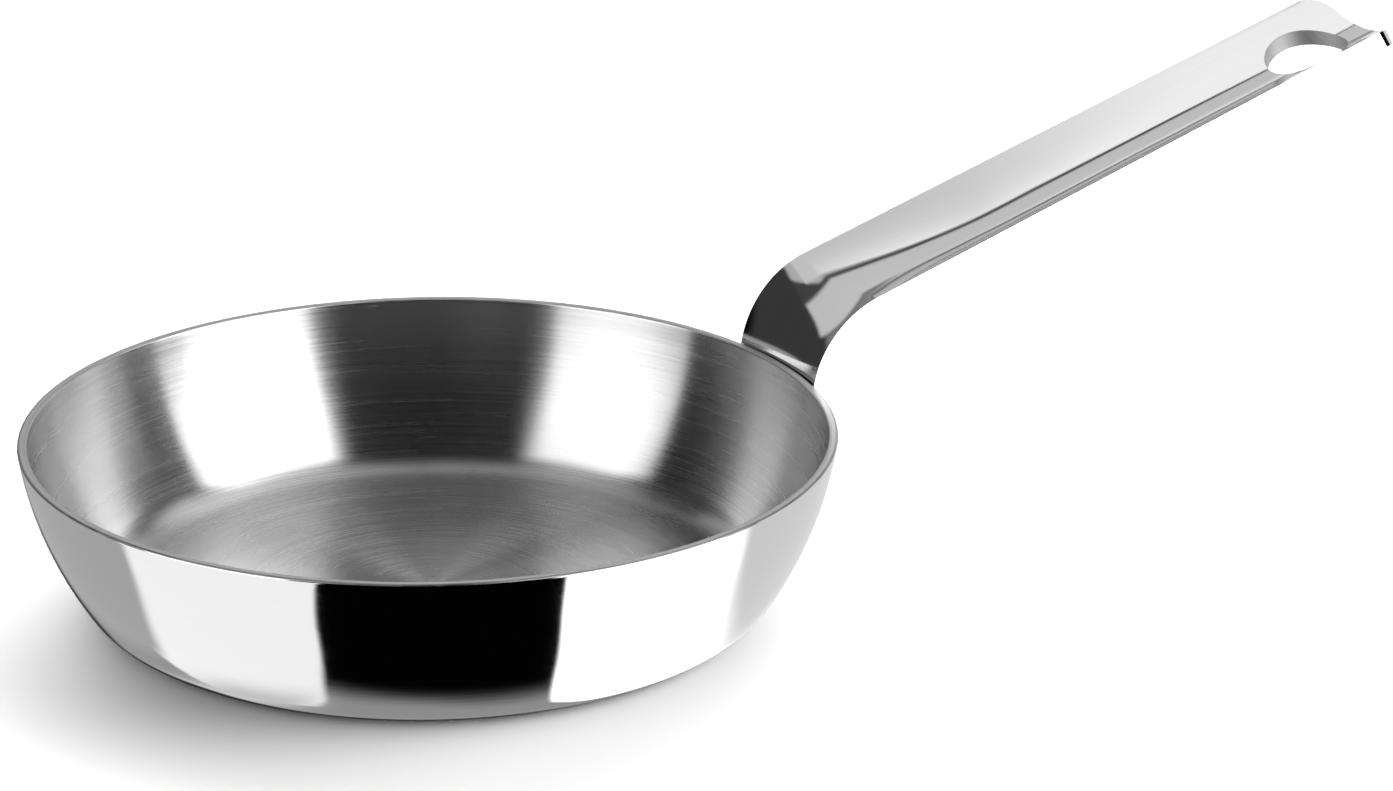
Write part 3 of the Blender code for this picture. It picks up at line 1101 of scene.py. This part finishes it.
class BLINIPAN_OT_handle(bpy.types.Operator):
    """Model the dished strip handle with its hanging hole"""

    bl_idname = "blinipan.handle"
    bl_label = "Handle"

    def execute(self, context):
        settings = context.scene.blini_pan
        sizes = settings.handle
        path = StripPath(sizes, BowlShape(settings.body))
        handle = extrude_strip(path)
        thicken = handle.modifiers.new("thickness", "SOLIDIFY")
        thicken.thickness = sizes.thickness
        thicken.offset = -1.0
        thicken.use_even_offset = True
        apply_modifier(handle, thicken)
        bottom, facing, _ = path.row(path.length - sizes.hole_from_end)
        deselect_all()
        bpy.ops.mesh.primitive_cylinder_add(
            vertices=HOLE_STEPS,
            radius=sizes.hole_radius,
            depth=8 * sizes.thickness,
            location=(bottom[0], 0.0, bottom[1]),
            rotation=(0.0, math.pi / 2 - facing, 0.0),
        )
        drill = bpy.context.object
        hole = handle.modifiers.new("hanging hole", "BOOLEAN")
        hole.operation = "DIFFERENCE"
        hole.object = drill
        apply_modifier(handle, hole)
        bpy.data.objects.remove(drill, do_unlink=True)
        edges = handle.modifiers.new("rounded edges", "BEVEL")
        edges.width = sizes.edge_radius
        edges.segments = EDGE_STEPS
        edges.limit_method = "ANGLE"
        edges.angle_limit = math.radians(STRIP_ROUND_EDGE)
        apply_modifier(handle, edges)
        # An open fault: the modifier's clamp holds the rounding so far below its size that this merge, which
        # makes the mesh watertight, takes all of it away, and the strip's edges stay sharp.
        bpy.ops.object.mode_set(mode="EDIT")
        bpy.ops.mesh.select_all(action="SELECT")
        bpy.ops.mesh.remove_doubles(threshold=STRIP_MERGE)
        bpy.ops.object.mode_set(mode="OBJECT")
        smooth_shading(handle, STRIP_HARD_EDGE)
        give_material(
            handle,
            polished_strip_steel(settings.colours),
            ground_edge("punched steel edge", settings.colours.polished, 0.5, 0.65, rough=(0.55, 0.7)),
        )
        drilled = Vector((bottom[0], 0.0, bottom[1]))
        axis = Vector((math.cos(facing), 0.0, math.sin(facing)))
        reach = sizes.hole_radius + sizes.edge_radius

        def is_hole_wall(face):
            is_near = (face.center - drilled).cross(axis).length < reach
            return is_near and abs(face.normal.dot(axis)) < HOLE_FACING

        finish_faces(handle, is_hole_wall)
        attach(handle, "root")
        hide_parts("handle")
        return {"FINISHED"}


class BLINIPAN_OT_welds(bpy.types.Operator):
    """Give the four spot welds their fused steel"""

    bl_idname = "blinipan.welds"
    bl_label = "Spot welds"

    def execute(self, context):
        material = fused_weld(context.scene.blini_pan.colours)
        for number in range(1, 5):
            give_material(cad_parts[f"spot_weld_{number}"], material)
        return {"FINISHED"}


class BLINIPAN_OT_stage(bpy.types.Operator):
    """Set the table, the lights and the camera"""

    bl_idname = "blinipan.stage"
    bl_label = "Stage"

    def execute(self, context):
        settings = context.scene.blini_pan
        studio = settings.studio
        aim_camera(studio, BowlShape(settings.body))
        add_table(studio)
        add_studio_shell(studio)
        add_handle_card()
        add_room(context, studio)
        context.scene.view_settings.view_transform = "Standard"
        return {"FINISHED"}


class BLINIPAN_PT_panel(bpy.types.Panel):
    """Lists the pan's pieces in the sidebar"""

    bl_idname = "BLINIPAN_PT_panel"
    bl_label = "Blini Pan"
    bl_space_type = "VIEW_3D"
    bl_region_type = "UI"
    bl_category = "Blini Pan"

    def draw(self, context):
        for operator in OPERATORS:
            self.layout.operator(operator.bl_idname)


OPERATORS = (BLINIPAN_OT_body, BLINIPAN_OT_handle, BLINIPAN_OT_welds, BLINIPAN_OT_stage)
CLASSES = (
    BodySizes,
    HandleSizes,
    FinishColours,
    StudioSettings,
    BlinipanSettings,
    *OPERATORS,
    BLINIPAN_PT_panel,
)


def register():
    for cls in CLASSES:
        bpy.utils.register_class(cls)
    bpy.types.Scene.blini_pan = bpy.props.PointerProperty(type=BlinipanSettings)


def unregister():
    del bpy.types.Scene.blini_pan
    for cls in reversed(CLASSES):
        bpy.utils.unregister_class(cls)


def main():
    register()
    bpy.ops.blinipan.body()
    bpy.ops.blinipan.handle()
    bpy.ops.blinipan.welds()
    bpy.ops.blinipan.stage()


if __name__ == "__main__":
    main()
